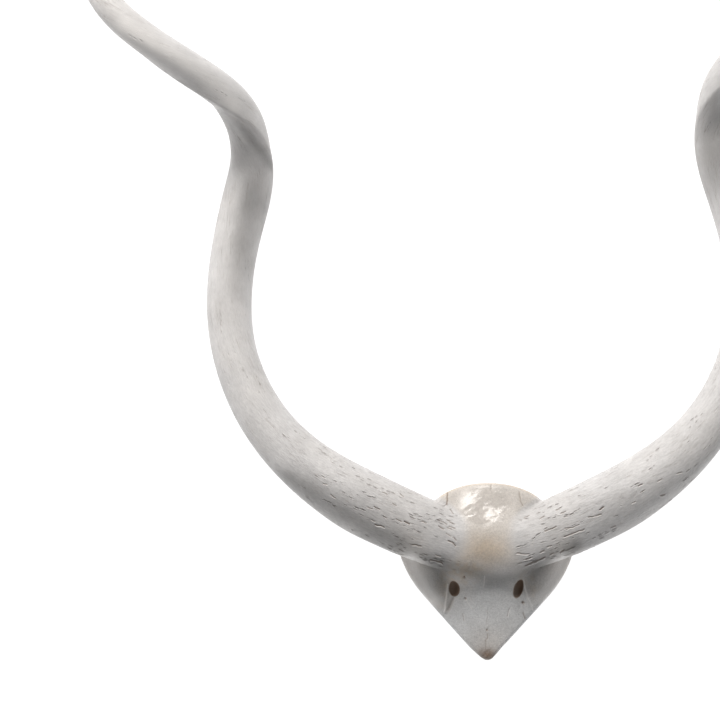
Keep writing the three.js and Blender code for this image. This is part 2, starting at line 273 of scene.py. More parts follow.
def skull_distance(p):
    x, y, z = p.T
    f, c, s = FOREHEAD, CROWN, SOCKET_ROOF
    across = np.abs(x - f["off_midline"] - f["tip_lean"] * np.maximum(f["tip_from"] - y, 0))
    slant = math.radians(f["half_angle"])
    rounded = np.cbrt(across ** 3 + f["tip_round"] ** 3)
    outline = rounded * math.cos(slant) - (y - f["apex"]) * math.sin(slant)
    outline = soft_max(outline, across - f["half_width"], f["corner_blend"])
    outline = soft_max(outline, y - f["hidden_end"] + f["hidden_slant"] * across, f["hidden_blend"])
    across = (np.abs(x - c["off_midline"]) / c["half_width"]) ** c["squareness"]
    lengthwise = (np.abs(y - c["middle"]) / c["half_length"]) ** c["squareness"]
    rim = ((across + lengthwise) ** (1 / c["squareness"]) - 1) * c["half_length"]
    rim = rim + c["undercut"] * (c["level"] - z)
    outline = soft_min(outline, rim, OUTLINE_BLEND)
    crest = along(np.array(CREST_HEIGHTS)[:, None], (y - CREST_START) / CREST_STEP)[:, 0]
    roof = s["height"] + s["slope"] * (y - s["at"])
    rise = crest - roof
    keep = 1 - smooth_step(np.abs(x), s["inner"], s["outer"])
    drop = smooth_step(np.abs(x) + s["lean"] * y, s["drop_inner"], s["drop_outer"])
    drop = drop * smooth_step(y, *s["fade_in"]) * (1 - smooth_step(y, *s["fade_out"]))
    drop = drop * (1 - smooth_step(outline, *s["rim"]))
    top = roof + np.where(rise > 0, keep * rise, rise) - BULGE * x * x - s["depth"] * drop
    valley = np.exp(-(((x - CROWN_GROOVE["at"]) / CROWN_GROOVE["width"]) ** 2))
    top = top - CROWN_GROOVE["depth"] * valley * smooth_step(y, *CROWN_GROOVE["fade_in"])
    for patch in CROWN_TILTS:
        spot = smooth_spot(p[:, :2], patch["at"], patch["radii"])
        top = top + patch["tilt"] * (y - patch["at"][1]) * spot
    return soft_max(outline, SLOPE_SHARE * (z - top), TOP_EDGE)


def bone_distance(p):
    """The whole outer form near the skull, horn roots included."""
    distance = skull_distance(p)
    seam = HORN_SEAM
    brow = 1 - smooth_step(np.abs(p[:, 0]), seam["inner"], seam["outer"])
    brow = brow * (1 - smooth_step(p[:, 1], seam["front"], seam["back"]))
    blend = seam["tight"] + (seam["wide"] - seam["tight"]) * brow
    for horn in HORNS.values():
        distance = soft_min(distance, near_root(p, horn)[2], blend)
    return distance


# Holes that are cut into the brow, leaning by some degrees, and the grooves that drain them.
BROW_HOLES = (
    dict(at=(-32.3, -2.2, 57), radii=(6.2, 8.4, 10), lean=6),
    dict(at=(30.2, -1.8, 57), radii=(4.8, 10.2, 10), lean=-17),
)
BROW_DRAINS = (
    dict(start=(-32, -6, 60), end=(-37.5, -21, 52.5), start_radius=3.4, end_radius=1.4),
    dict(start=(29, -6, 59), end=(34, -13, 56.5), start_radius=2.6, end_radius=2.0),
    dict(start=(34, -13, 56.5), end=(36, -28, 50), start_radius=1.8, end_radius=1.0),
)
SAW_EDGE = 1.2
HOLE_EDGE = 0.8
DRAIN_EDGE = 2.2

# Where a horn's own mesh takes over from the cap's, in stations along the horn.
HORN_STARTS = 1.05
HORN_EMERGES = (1.08, 1.2)
CAP_SINKS = (1.2, 1.32)
CAP_ENDS = 1.38
SINK_DEPTH = 0.8
BLENDS_UNTIL = 1.7
MOST_SWELL = 9.0
SWELL_ROUNDS = 11
OWN_SURFACE = (2.4, 3.8)  # how far the skull's flesh may bulge beyond a horn's own surface


def hole_distance(p, hole):
    lean = math.radians(hole["lean"])
    rel = p - np.array(hole["at"])
    across = rel[:, 0] * math.cos(lean) + rel[:, 1] * math.sin(lean)
    lengthwise = rel[:, 1] * math.cos(lean) - rel[:, 0] * math.sin(lean)
    return ellipsoid_distance(np.stack([across, lengthwise, rel[:, 2]], 1), (0, 0, 0), hole["radii"])


def cap_distance(p):
    """The cap as it is meshed: cut flat and hollowed, and sunk where a horn's own mesh covers it."""
    distance = bone_distance(p)
    for horn in HORNS.values():
        t, _, beside = near_root(p, horn)
        sink = smooth_step(t, *CAP_SINKS) * (1 - smooth_step(beside, *OWN_SURFACE))
        past = np.minimum((t - CAP_ENDS) * 45, 6 - beside)
        distance = np.maximum(distance + SINK_DEPTH * sink, past)
    for drain in BROW_DRAINS:
        distance = soft_max(distance, -capsule_distance(p, **drain), DRAIN_EDGE)
    for hole in BROW_HOLES:
        distance = soft_max(distance, -hole_distance(p, hole), HOLE_EDGE)
    distance = soft_max(distance, -ellipsoid_distance(p, **BRAINCASE), SAW_EDGE)
    return soft_max(distance, -p[:, 2], SAW_EDGE)


def in_chunks(function, p, size=60000):
    return np.concatenate([function(p[i:i + size]) for i in range(0, len(p), size)])


# Finding a surface: a coarse grid tells where it lies, a fine one is only worked out beside it.

def sample_band(distance, low, high, cell, coarse=4):
    counts = np.ceil((np.array(high) - low) / (cell * coarse)).astype(int)
    axes = [low[m] + cell * coarse * np.arange(counts[m] + 1) for m in range(3)]
    rough = np.stack(np.meshgrid(*axes, indexing="ij"), -1)
    values = in_chunks(distance, rough.reshape(-1, 3)).reshape(rough.shape[:3])
    for axis in range(3):
        fine = np.arange(counts[axis] * coarse + 1) / coarse
        lower = np.minimum(np.floor(fine).astype(int), counts[axis] - 1)
        share = (fine - lower).reshape([-1 if m == axis else 1 for m in range(3)])
        values = np.take(values, lower, axis) * (1 - share) + np.take(values, lower + 1, axis) * share
    near = np.argwhere(np.abs(values) < 1.2 * coarse * cell)
    points = np.array(low) + cell * near
    values[tuple(near.T)] = in_chunks(distance, points)
    return values


def surface_nets(values, low, cell):
    """One point in every cell that the surface crosses, and a quad around every crossed grid edge."""
    inside = values < 0
    n = np.array(values.shape)
    count = np.zeros(tuple(n - 1))
    total = np.zeros(tuple(n - 1) + (3,))

    def part(a, c):
        return a[c[0]:c[0] + n[0] - 1, c[1]:c[1] + n[1] - 1, c[2]:c[2] + n[2] - 1]

    for c in np.ndindex(2, 2, 2):
        for axis in range(3):
            if c[axis]:
                continue
            d = tuple(1 if m == axis else c[m] for m in range(3))
            a, b = part(values, c), part(values, d)
            crossed = part(inside, c) != part(inside, d)
            share = np.where(crossed, a / np.where(crossed, a - b, 1), 0)
            count += crossed
            for m in range(3):
                total[..., m] += np.where(crossed, c[m] + (share if m == axis else 0), 0)
    active = count > 0
    index = np.full(active.shape, -1)
    index[active] = np.arange(active.sum())
    points = np.array(low) + cell * (np.argwhere(active) + total[active] / count[active][:, None])
    quads = []
    for axis in range(3):
        a, b = [m for m in range(3) if m != axis]
        lo, hi = [slice(None)] * 3, [slice(None)] * 3
        lo[axis] = slice(0, n[axis] - 1)
        hi[axis] = slice(1, n[axis])
        at = np.argwhere(inside[tuple(lo)] != inside[tuple(hi)])
        da, db = np.eye(3, dtype=int)[a], np.eye(3, dtype=int)[b]
        quad = np.stack([index[tuple(q.T)] for q in (at - da - db, at - db, at, at - da)], 1)
        flip = inside[tuple(at.T)] ^ (axis == 1)
        quad[~flip] = quad[~flip][:, ::-1]
        quads.append(quad)
    return points, np.vstack(quads)


def slope_of(p, distance, step=0.05):
    sides = [in_chunks(distance, p + e) - in_chunks(distance, p - e) for e in np.eye(3) * step]
    return np.stack(sides, 1) / (2 * step)


def settle(p, distance, rounds=2, most=0.6):
    """Moves points onto the surface where a distance is nought."""
    for _ in range(rounds):
        slope = slope_of(p, distance)
        move = in_chunks(distance, p)[:, None] * slope / np.maximum(np.sum(slope ** 2, 1), 0.05)[:, None]
        length = np.linalg.norm(move, axis=1)[:, None]
        p = p - move * np.minimum(1, most / np.maximum(length, 1e-9))
    return p


def split_triangles(points, triangles, wanted):
    """Splits the wanted triangles in four, and their neighbours so that no edge is left hanging."""
    wanted = wanted.copy()
    edges = np.sort(np.stack([triangles, np.roll(triangles, -1, 1)], 2), 2)
    keys = edges[..., 0] * len(points) + edges[..., 1]
    names, which = np.unique(keys, return_inverse=True)
    which = which.reshape(keys.shape)
    while True:
        cut = np.zeros(len(names), bool)
        cut[which[wanted].ravel()] = True
        sides = cut[which]
        more = (sides.sum(1) >= 2) & ~wanted
        if not more.any():
            break
        wanted |= more
    middle = np.full(len(names), -1)
    middle[cut] = len(points) + np.arange(cut.sum())
    pairs = np.stack([names[cut] // len(points), names[cut] % len(points)], 1)
    points = np.vstack([points, points[pairs].mean(1)])
    mid = middle[which]
    a, b, c = triangles[wanted].T
    ab, bc, ca = mid[wanted].T
    made = [np.stack(t, 1) for t in ((a, ab, ca), (ab, b, bc), (ca, bc, c), (ab, bc, ca))]
    halved = (sides.sum(1) == 1) & ~wanted
    for k in range(3):
        rows = halved & sides[:, k]
        t = np.roll(triangles[rows], -k, 1)
        m = mid[rows, k]
        made += [np.stack([t[:, 0], m, t[:, 2]], 1), np.stack([m, t[:, 1], t[:, 2]], 1)]
    made.append(triangles[~wanted & ~halved])
    return points, np.vstack(made)


def normals_of(points, triangles):
    corners = points[triangles]
    across = np.cross(corners[:, 1] - corners[:, 0], corners[:, 2] - corners[:, 0])
    total = np.zeros_like(points)
    for k in range(3):
        np.add.at(total, triangles[:, k], across)
    return total / np.maximum(np.linalg.norm(total, axis=1), 1e-12)[:, None]


def to_split(points, triangles, close, first):
    """Triangles near marks; after the first round only those right on a mark and turned to the camera."""
    if first:
        return close[triangles].any(1)
    return (close & (normals_of(points, triangles)[:, 2] > 0.2))[triangles].all(1)


# Marks on the bone, as the camera sees them: strokes of (x, y) in millimetres, with a half width, a depth
# (less than nought is a raised line, nought is a tone alone), how brown the bone is in them, and how much
# painted light they carry: painted highlights along the raised lines, painted light on the wide strokes.
def mark(points, width, depth, brown=0.0, painted_light=0.0, wobble=0.0):
    return dict(points=points, width=width, depth=depth, brown=brown, painted_light=painted_light, wobble=wobble)


MARKS = (
    mark([(-37.6, 91.8), (-37.9, 86), (-38.3, 80.8)], 0.7, 0.5, brown=0.9, wobble=0.5),
    mark([(30.9, 92.6), (31.7, 85.5), (33.6, 79.9)], 0.5, 0.35, brown=0.55, wobble=0.7),
    mark([(3.8, 100), (3.4, 95.7)], 0.45, 0.3, brown=0.5, wobble=0.4),
    mark([(-21.8, 11.6), (-21.7, 11.5)], 1.0, 1.6, brown=1.0),
    mark([(-20.8, -8.3), (-20.2, -9.0)], 0.9, 0.9, brown=0.7),
    mark([(-20, -10), (-17, -14.5), (-14.3, -18.7)], 0.5, -0.25, painted_light=0.4),
    mark([(-16.5, -8.3), (-14, -11.8), (-11.4, -15.2)], 0.45, -0.2, painted_light=0.35),
    mark([(-2.2, 12.9), (-2.6, 7), (-3.6, 1.4)], 0.55, -0.25, painted_light=0.35),
    mark([(-23.1, -23.3), (-22.6, -26.5), (-22, -29.7)], 0.5, 0.35, brown=0.35),
    mark([(-21.9, -24.3), (-21.4, -27.5), (-20.9, -30.2)], 0.45, -0.2, painted_light=0.35),
    mark([(21.5, -17.6), (20.2, -21), (19.4, -25.2)], 0.5, 0.35, brown=0.35, wobble=0.3),
    mark([(22.6, -18), (21.2, -22), (20.2, -26.5)], 0.45, -0.2, painted_light=0.35),
    mark([(0.2, -19), (0.4, -26), (-0.1, -33)], 0.4, 0.2, brown=0.2, wobble=0.6),
    mark([(-0.1, -38.3), (0.1, -38.8)], 0.8, 0.6, brown=0.9),
    mark([(0.8, -42), (0.3, -46), (-1.3, -48), (-1.0, -55)], 0.45, 0.3, brown=0.5, wobble=0.5),
    mark([(34.0, -12.1), (34.6, -12.5)], 1.2, 1.6, brown=0.9),
    mark([(-36.6, 4.8), (-38.4, -10), (-39.9, -21.8)], 1.2, -0.8, painted_light=0.35, wobble=0.5),
    mark([(-31.8, -8.5), (-34, -13.5), (-37.1, -20)], 1.7, 1.2, brown=0.3, wobble=0.4),
    mark([(34.4, 8.6), (36.1, -1.9)], 0.8, -0.6, painted_light=0.45, wobble=0.3),
    mark([(36.1, -1.9), (40, -11), (43.3, -19)], 1.1, -0.6, painted_light=0.3, wobble=0.5),
    mark([(34.2, -21.8), (35, -24.5), (36.1, -27.5)], 0.6, 0.5, brown=0.5),
    # Painted light: wide pale strokes that brighten the upper left horn and the outer edges of the
    # eye-socket roofs.
    mark([(-348.7, 540), (-320, 519), (-282, 497), (-258, 480), (-243, 463)], 9, 0, painted_light=0.75),
    mark([(-72, 30), (-64, 8), (-53, -11)], 9, 0, painted_light=0.9),
    mark([(71, 30), (63, 8), (55, -6)], 8, 0, painted_light=0.9),
)
# The pores of the horns that stand out, as strokes in the same plane, with their depths.
DEEP_PORES = (
    (0.9, (-107, 78), (-102.5, 76)), (0.5, (-114, 78), (-109.5, 76)), (0.5, (-110.5, 66), (-106.5, 64)),
    (0.9, (-106.5, 61), (-101.5, 60), (-98, 58.5)), (0.9, (-78.5, 64), (-73.5, 62)),
    (0.5, (-62, 65), (-58, 63)), (0.5, (-46.5, 66), (-43, 64)), (0.7, (-45.5, 60), (-41, 57)),
    (0.5, (-37.5, 58.5), (-33.5, 56.5)), (1.0, (-37, 46), (-33, 44.5), (-30, 41.5)),
    (0.7, (-71.5, 42), (-67, 42), (-63, 40.5)), (0.5, (-48.5, 33), (-44.5, 31)),
    (0.7, (-54, 28), (-48.5, 27), (-42, 24.5)), (0.5, (-156.5, 100.5), (-152.5, 99)),
    (0.5, (-149, 89.5), (-144.5, 86.5)), (0.5, (-86.5, 66.5), (-81.5, 64)),
    (0.5, (-90, 81.5), (-86.5, 79.5)),
    (0.5, (-82.5, 90.5), (-79, 88.5)), (0.5, (-99, 92), (-95, 90.5)), (0.5, (-99, 69.5), (-95.5, 67.5)),
    (0.9, (110, 79), (106.5, 76)), (0.7, (108, 72), (101.5, 70), (96.5, 69)),
    (0.7, (92, 57.5), (83.5, 54.5), (73, 50.5)), (0.6, (87.5, 62), (81, 59.5), (74, 58.5)),
    (0.7, (65.5, 60.5), (60, 57.5), (55, 56)), (0.5, (74.5, 74.5), (70, 72.5)),
    (0.5, (69.5, 78), (65.5, 76)),
    (0.5, (54.5, 70), (50.5, 67.5)), (0.5, (39.5, 70.5), (35.5, 68.5)), (0.6, (54.5, 37.5), (50.5, 35.5)),
    (0.6, (61.5, 42), (57.5, 40.5)), (0.6, (63.5, 35), (60, 33.5)), (0.5, (73, 37.5), (69, 35.5)),
    (0.6, (40, 34), (34, 34), (28.5, 35)), (0.6, (43, 31), (39, 29.5), (35, 28.5)),
    (0.8, (55, 31), (45.5, 26.5), (36.5, 23)), (0.6, (146.5, 101), (143, 99)),
    (0.6, (149, 95), (145.5, 93)),
    (0.5, (140.5, 84), (137, 82.5)), (0.5, (165, 105.5), (161.5, 103.5)),
    (0.5, (183.5, 112.5), (179.5, 110.5)),
    (0.5, (168, 91.5), (164, 90)), (0.5, (121.5, 61), (117.5, 59.5)),
    (0.6, (-38, 66.5), (-32.3, 62.7)), (0.6, (-36.1, 59.9), (-30.4, 58)), (0.5, (-41.8, 63.7), (-38, 61.8)),
    (0.5, (-35.2, 76), (-32.3, 72.2)), (0.5, (-39, 53.2), (-34.2, 50.4)),
    (0.7, (-32.3, 49.4), (-29.5, 46.6)),
)


# The bright edge below a drawn pore is a raised lip with a painted highlight on it.
LIP_OFFSET = 1.0  # how far below a drawn pore its bright edge lies
PORE_SHADE_DEPTH = 1.8
PORE_DARKEST = 0.34
FLUTE_HEIGHT = 0.08
TURNED_UP = (0.0, 0.25)  # how steep a face may be before drawn marks fade from it
SLIM_RADIUS = 9
WORN_ALONG = (120, 420)  # millimetres along a horn over which its grain evens out


# Painted shade in a pore, darker the deeper it goes, over some real brown.
def pore_shade_and_stain(depth):
    return np.clip(depth / PORE_SHADE_DEPTH, 0, PORE_DARKEST)


def stroke_distance(at, points):
    """Distance from a row of straight legs, in the plane."""
    least = np.full(len(at), np.inf)
    for start, end in zip(points[:-1], points[1:]):
        start, end = np.array(start, float), np.array(end, float)
        leg = end - start
        share = np.clip((at - start) @ leg / (leg @ leg), 0, 1)
        least = np.minimum(least, np.linalg.norm(at - start - share[:, None] * leg, axis=1))
    return least


def mesh_object(name, points, triangles, values):
    """A smooth-shaded object in metres, with one number or three kept on every vertex for the material."""
    mesh = bpy.data.meshes.new(name)
    loops = triangles.ravel().astype(np.int32)
    mesh.vertices.add(len(points))
    mesh.vertices.foreach_set("co", (points * MM).astype(np.float32).ravel())
    mesh.loops.add(len(loops))
    mesh.loops.foreach_set("vertex_index", loops)
    mesh.polygons.add(len(triangles))
    mesh.polygons.foreach_set("loop_start", np.arange(0, len(loops), 3, dtype=np.int32))
    mesh.polygons.foreach_set("use_smooth", np.ones(len(triangles), bool))
    mesh.update(calc_edges=True)
    mesh.validate()
    for key, value in values.items():
        kind, field = ("FLOAT_VECTOR", "vector") if value.ndim == 2 else ("FLOAT", "value")
        attribute = mesh.attributes.new(key, kind, "POINT")
        attribute.data.foreach_set(field, value.astype(np.float32).ravel())
    obj = bpy.data.objects.new(name, mesh)
    bpy.context.scene.collection.objects.link(obj)
    return obj


# Pores scattered along the grain of a horn.
PORE_ZONES = ((6, 70, 85), (40, 125, 64), (110, 210, 32), (200, 330, 18), (330, 800, 22))  # from, to, count
SPECKS = 200


def scatter_pores(horn):
    """Pores in rows along the grain: (along, turn, half length, half width, depth, slant, radius)."""
    rng = np.random.default_rng(horn["seed"])
    pores = []

    def add(along_horn, turn, half, width, depth, slant):
        t = np.interp(along_horn, horn["length"], PLACE_TABLE)
        radius = along(horn["stations"], [t])[0, 3]
        pores.append((along_horn, turn, half, width, depth, slant, radius))

    for start, end, count in PORE_ZONES:
        fade = 1 - smooth_step(np.array(float(start)), 100, 330)
        for _ in range(count):
            where, turn = rng.uniform(start, end), rng.uniform(0, 360)
            slant = rng.normal(0, 0.09)
            for _ in range(rng.integers(1, 4)):
                size = rng.uniform(0.2, 1) * (0.45 + 0.55 * fade)
                add(where, turn, 1.0 + 2.4 * size, 0.3 + 0.2 * size, 0.35 + 0.8 * size, slant)
                where += rng.uniform(3.5, 9)
                turn += rng.normal(0, 2.5)
    for _ in range(SPECKS):
        where = horn["length"][-1] * rng.uniform() ** 1.6
        add(where, rng.uniform(0, 360), rng.uniform(0.5, 0.9), 0.42, rng.uniform(0.2, 0.5), 0.0)
    horn["pores"] = pores


def pore_fields(horn, where, turn):
    """Depth of the pores at places on a horn, and which places are close to one."""
    order = np.argsort(where)
    ordered = where[order]
    depth, close = np.zeros(len(where)), np.zeros(len(where), bool)
    for at, at_turn, half, width, deep, slant, radius in horn["pores"]:
        first, last = np.searchsorted(ordered, (at - half - 1, at + half + 1))
        pick = order[first:last]
        lengthwise = where[pick] - at
        apart = (turn[pick] - at_turn + 180) % 360 - 180
        sideways = np.radians(apart) * radius - slant * lengthwise
        taper = np.clip(1 - (lengthwise / half) ** 2, 0, 1)
        wide = width * (0.4 + 0.6 * taper)
        lip = 0.3 * np.exp(-1.5 * (np.abs(sideways / wide) - 2.1) ** 2)
        shape = deep * taper * (np.exp(-((sideways / wide) ** 2)) - lip)
        depth[pick] = np.where(np.abs(shape) > np.abs(depth[pick]), shape, depth[pick])
        close[pick] |= (np.abs(sideways) < 2.2 * width + 0.3) & (np.abs(lengthwise) < half + 0.5)
    return depth, close


def flute_waves(horn, where, turn):
    """Low ridges and furrows that run along the grain."""
    rng = np.random.default_rng(horn["seed"] + 1)
    waves = np.zeros(len(where))
    for count in range(4, 19):
        phase = rng.uniform(0, 6.28) + 0.5 * np.sin(where / rng.uniform(60, 160) + rng.uniform(0, 6.28))
        swing = 0.5 + 0.5 * np.sin(where / rng.uniform(50, 140) + rng.uniform(0, 6.28))
        waves += swing / count ** 0.6 * np.cos(count * np.radians(turn) + phase)
    return waves


for horn in HORNS.values():
    scatter_pores(horn)


def stroke_fields(points):
    """Lift, brown and painted light of all drawn marks and drawn pores, and which points are close to one.
    """
    at = seen(points)
    sway = np.stack([cloud(points, 3.1, 5), cloud(points, 3.1, 6)], 1)
    lift, brown, painted_light = np.zeros(len(at)), np.zeros(len(at)), np.zeros(len(at))
    close = np.zeros(len(at), bool)
    for m in MARKS:
        off = stroke_distance(at + m["wobble"] * sway, m["points"])
        strength = np.exp(-((off / m["width"]) ** 2))
        lift -= m["depth"] * strength
        brown = np.maximum(brown, m["brown"] * strength)
        painted_light = np.maximum(painted_light, m["painted_light"] * strength)
        if m["depth"]:
            close |= off < 2 * m["width"] + 0.5
    for depth, *line in DEEP_PORES:
        off = stroke_distance(at + 0.5 * sway, line)
        width = 0.36 + 0.22 * depth
        below = stroke_distance(at + 0.5 * sway + (0, LIP_OFFSET), line)
        strength = np.exp(-((off / width) ** 2))
        lip = np.exp(-((below / (0.9 * width)) ** 2)) * (1 - strength)
        lift -= 1.5 * depth * (strength - 0.3 * lip)
        brown = np.maximum(brown, (0.35 + 0.4 * depth) * strength)
        # Painted highlight on the lip below each drawn pore.
        painted_light = np.maximum(painted_light, (0.3 + 0.4 * depth) * lip)
        close |= (off < 3 * width + 0.4) | (below < 1.5 * width)
    return lift, brown, painted_light, close


# Brown stains around the brow holes and at the brow's foot, darkened to be partly painted shade: centre,
# radii, share.
STAINS_AND_SHADE = (
    ((-19, 19), (15, 9), 1.6), ((-36, 10), (12, 10), 0.7), ((32, 8), (9, 12), 0.4),
    ((-24, 4), (9, 9), 0.35), ((-42, -6), (7, 14), 0.8), ((44, 4), (8, 12), 0.7),
)

# Painted shade: where the bone is painted darker, under the brow, under the left horn, in the valleys
# beside the brow holes and in the concave faces at the bends of both horns: bands (points, half width,
# share) and ovals (centre, radii, share).
UNDER_BROW = (
    (-70, 34), (-47.5, 22.5), (-26, 18), (-10, 15), (3, 9.5), (14, 9), (27, 12), (42, 19), (83.6, 41.5),
)
PAINTED_SHADE_BANDS = (
    (UNDER_BROW, 8, 0.5),
    (((-190, 106), (-149, 82), (-111, 57), (-82, 43)), 11, 0.36),
    (((-44.7, 27), (-40, -10)), 9.5, 0.4),
    (((46, 22), (37, 2)), 8, 0.3),
    (((-251.8, 455), (-234.7, 440), (-223.3, 427.5), (-213.8, 417), (-206.2, 404)), 5, 0.36),
)
PAINTED_SHADE_SPOTS = (
    ((-226, 371), (17, 28), 0.45), ((-236, 328), (15, 28), 0.3), ((-245, 292), (15, 25), 0.17),
    ((216.6, 408.5), (22, 45), 0.5),
)


# The share of painted shade at places seen against the brow level.
def painted_shade_at(at):
    clean = np.ones(len(at))
    for line, width, share in PAINTED_SHADE_BANDS:
        clean *= 1 - share * np.exp(-((stroke_distance(at, line) / width) ** 2))
    for spot, radii, share in PAINTED_SHADE_SPOTS:
        clean *= 1 - share * smooth_spot(at, spot, radii)
    return 1 - clean


def shades(points, normals, white):
    """Tones of the bone, the same on the cap and on the horns: warm, cool and stained bone, and painted
    shade.
    """
    at = seen(points)
    y, bare = at[:, 1], 1 - white
    warm = smooth_step(y, 12, 40) * bare
    flaps = sum(smooth_spot(at, (side * 73, 18), (16, 28)) for side in (-1, 1))
    nose = smooth_spot(at, (0, -58), (20, 20))
    cool = smooth_step(-y, -24, 8) * (1 - 0.8 * nose)
    tan = smooth_spot(at, (-1.4, 37.4), (20, 15)) * bare
    mottled = 0.5 + 0.5 * cloud(points, 4, 8)
    for spot, radii, share in STAINS_AND_SHADE:
        tan = tan + share * mottled * smooth_spot(at, spot, radii)
    warm = np.clip(warm + 0.95 * flaps + 0.5 * nose, 0, 1)
    # Painted shade, kept off faces that turn towards the sawn back.
    painted_shade = painted_shade_at(at) * smooth_step(normals[:, 2], -0.3, 0.1)
    return dict(warm=warm, tan=np.clip(tan, 0, 1), cool=cool, painted_shade=painted_shade)


CAP_CELL = 1.6
CAP_LOW = (-116, -86, -4.5)
CAP_HIGH = (116, 114, 114)
ROOT_PORES = (0.12, 0.28)
ROOT_WHITE = (0.08, 0.45)
# Layers of soft unevenness: size, height, seed.
BONE_RIPPLES = ((11, 0.10, 1), (4.2, 0.05, 2))
CROWN_RIPPLES = ((8.5, 0.24, 3), (3.2, 0.21, 4))
GRAIN_STRETCH = (160, 40)  # millimetres along and across the horn that count as one in the grain's noise


def grain_of(horn, where, turn, radius):
    angle, girth = np.radians(turn), np.maximum(radius, 6) / GRAIN_STRETCH[1]
    return np.stack([where / GRAIN_STRETCH[0], girth * np.cos(angle), girth * np.sin(angle)], 1)


def root_fields(points):
    """Pores, closeness to them, horn share, whiteness and grain on the roots of both horns."""
    depth, close = np.zeros(len(points)), np.zeros(len(points), bool)
    root, white, grain = np.zeros(len(points)), np.zeros(len(points)), np.zeros((len(points), 3))
    for horn in HORNS.values():
        side = points[:, 0] * horn["side"] > 0
        t, turn, beside = near_root(points[side], horn)
        where = np.interp(t, PLACE_TABLE, horn["length"])
        turn = turn - np.interp(t, PLACE_TABLE, horn["wound"])
        own = smooth_step(t, *ROOT_PORES) * (1 - smooth_step(beside, 2.2, 4.6))
        deep, near = pore_fields(horn, where, turn)
        waves = flute_waves(horn, where, turn)
        depth[side] = own * deep
        close[side] = near & (own > 0)
        root[side] = own
        white[side] = smooth_step(t, *ROOT_WHITE) * (1 - smooth_step(beside, 2.5, 8))
        grain[side] = grain_of(horn, where, turn, along(horn["stations"], t)[:, 3])
        depth[side] -= FLUTE_HEIGHT * own * waves
    return depth, close, root, white, grain


def ripples(points, layers):
    return sum(height * cloud(points, size, seed) for size, height, seed in layers)


def make_cap():
    values = sample_band(cap_distance, CAP_LOW, CAP_HIGH, CAP_CELL)
    points, quads = surface_nets(values, CAP_LOW, CAP_CELL)
    triangles = np.vstack([quads[:, [0, 1, 2]], quads[:, [0, 2, 3]]])
    points = settle(points, cap_distance)
    for first in (True, False):
        close = stroke_fields(points)[3] | root_fields(points)[1]
        close &= points[:, 2] > 20
        for hole in BROW_HOLES:
            close |= np.abs(hole_distance(points, hole)) < 1.5
        before = len(points)
        points, triangles = split_triangles(points, triangles, to_split(points, triangles, close, first))
        points[before:] = settle(points[before:], cap_distance, 1)
    normals = normals_of(points, triangles)
    at = seen(points)
    facing = smooth_step(normals[:, 2], *TURNED_UP) * (points[:, 2] > 12)
    lift, brown, painted_light, _ = stroke_fields(points)
    depth, _, root, white, grain = root_fields(points)
    lift, brown, painted_light = lift * facing, brown * facing, painted_light * facing
    # Soft unevenness everywhere, stronger and glossier over the crown.
    crown = 1 - smooth_step(np.hypot((at[:, 0] + 2) / 30, (at[:, 1] - 80) / 22), 0.6, 1.15)
    crown *= 1 - root
    lift += facing * ripples(points, BONE_RIPPLES)
    lift += facing * crown * ripples(points, CROWN_RIPPLES)
    # The broken end of the nose is spongy, and so is the sawn back.
    nose = smooth_spot(at, (0.1, -62.5), (8.5, 6.0)) * (points[:, 2] > 6)
    lift -= nose * (0.35 + 0.45 * cloud(points, 2.4, 7))
    back = (points[:, 2] < 0.6) & (normals[:, 2] < -0.5)
    # Painted shade over the holes' own brown: pores and brow holes are painted darker the deeper they go,
    # less so on the left wall of a hole, which is lit.
    hollow_shade_and_stain = pore_shade_and_stain(depth)
    for hole in BROW_HOLES:
        inside = smooth_step(-hole_distance(points, hole), -0.9, 0.2)
        deep = smooth_step(60 - points[:, 2], 0, 8)
        lit = 1 - smooth_step(points[:, 0] - hole["at"][0], -4.5, 2.5)
        hollow_shade_and_stain = np.maximum(hollow_shade_and_stain, inside * (0.4 + 0.6 * deep) * (1 - 0.6 * lit))
        brown = np.maximum(brown, inside * 0.9)
    # The crown's rim: its own brownish tint, and painted shade on the steep wall of the rim.
    rim = smooth_step(points[:, 1], 76, 90) * (1 - smooth_step(normals[:, 2], 0.35, 0.8)) * (1 - white)
    brown = np.maximum(brown, 0.9 * nose)
    tones = shades(points, normals, white)
    tones["tan"] = np.maximum(tones["tan"], 0.75 * rim)
    points = points + normals * (lift - depth)[:, None]
    fields = dict(
        tones, brown=np.clip(brown, 0, 1), painted_light=painted_light, hollow_shade_and_stain=hollow_shade_and_stain, root=root, grain=grain,
        gloss=crown, spongy=np.clip(nose + 0.7 * back, 0, 1), worn=np.zeros(len(points)),
    )
    return mesh_object("skull_cap_bone", points, triangles, fields)


# A horn as rings of points. The rings lie close near the root, and hold fewer points further on.
RING_POINTS = 200
RING_ZONES = ((0, 250, 2.0, 1), (250, 640, 2.8, 2), (640, 2000, 3.0, 4))  # from, to, spacing, share kept


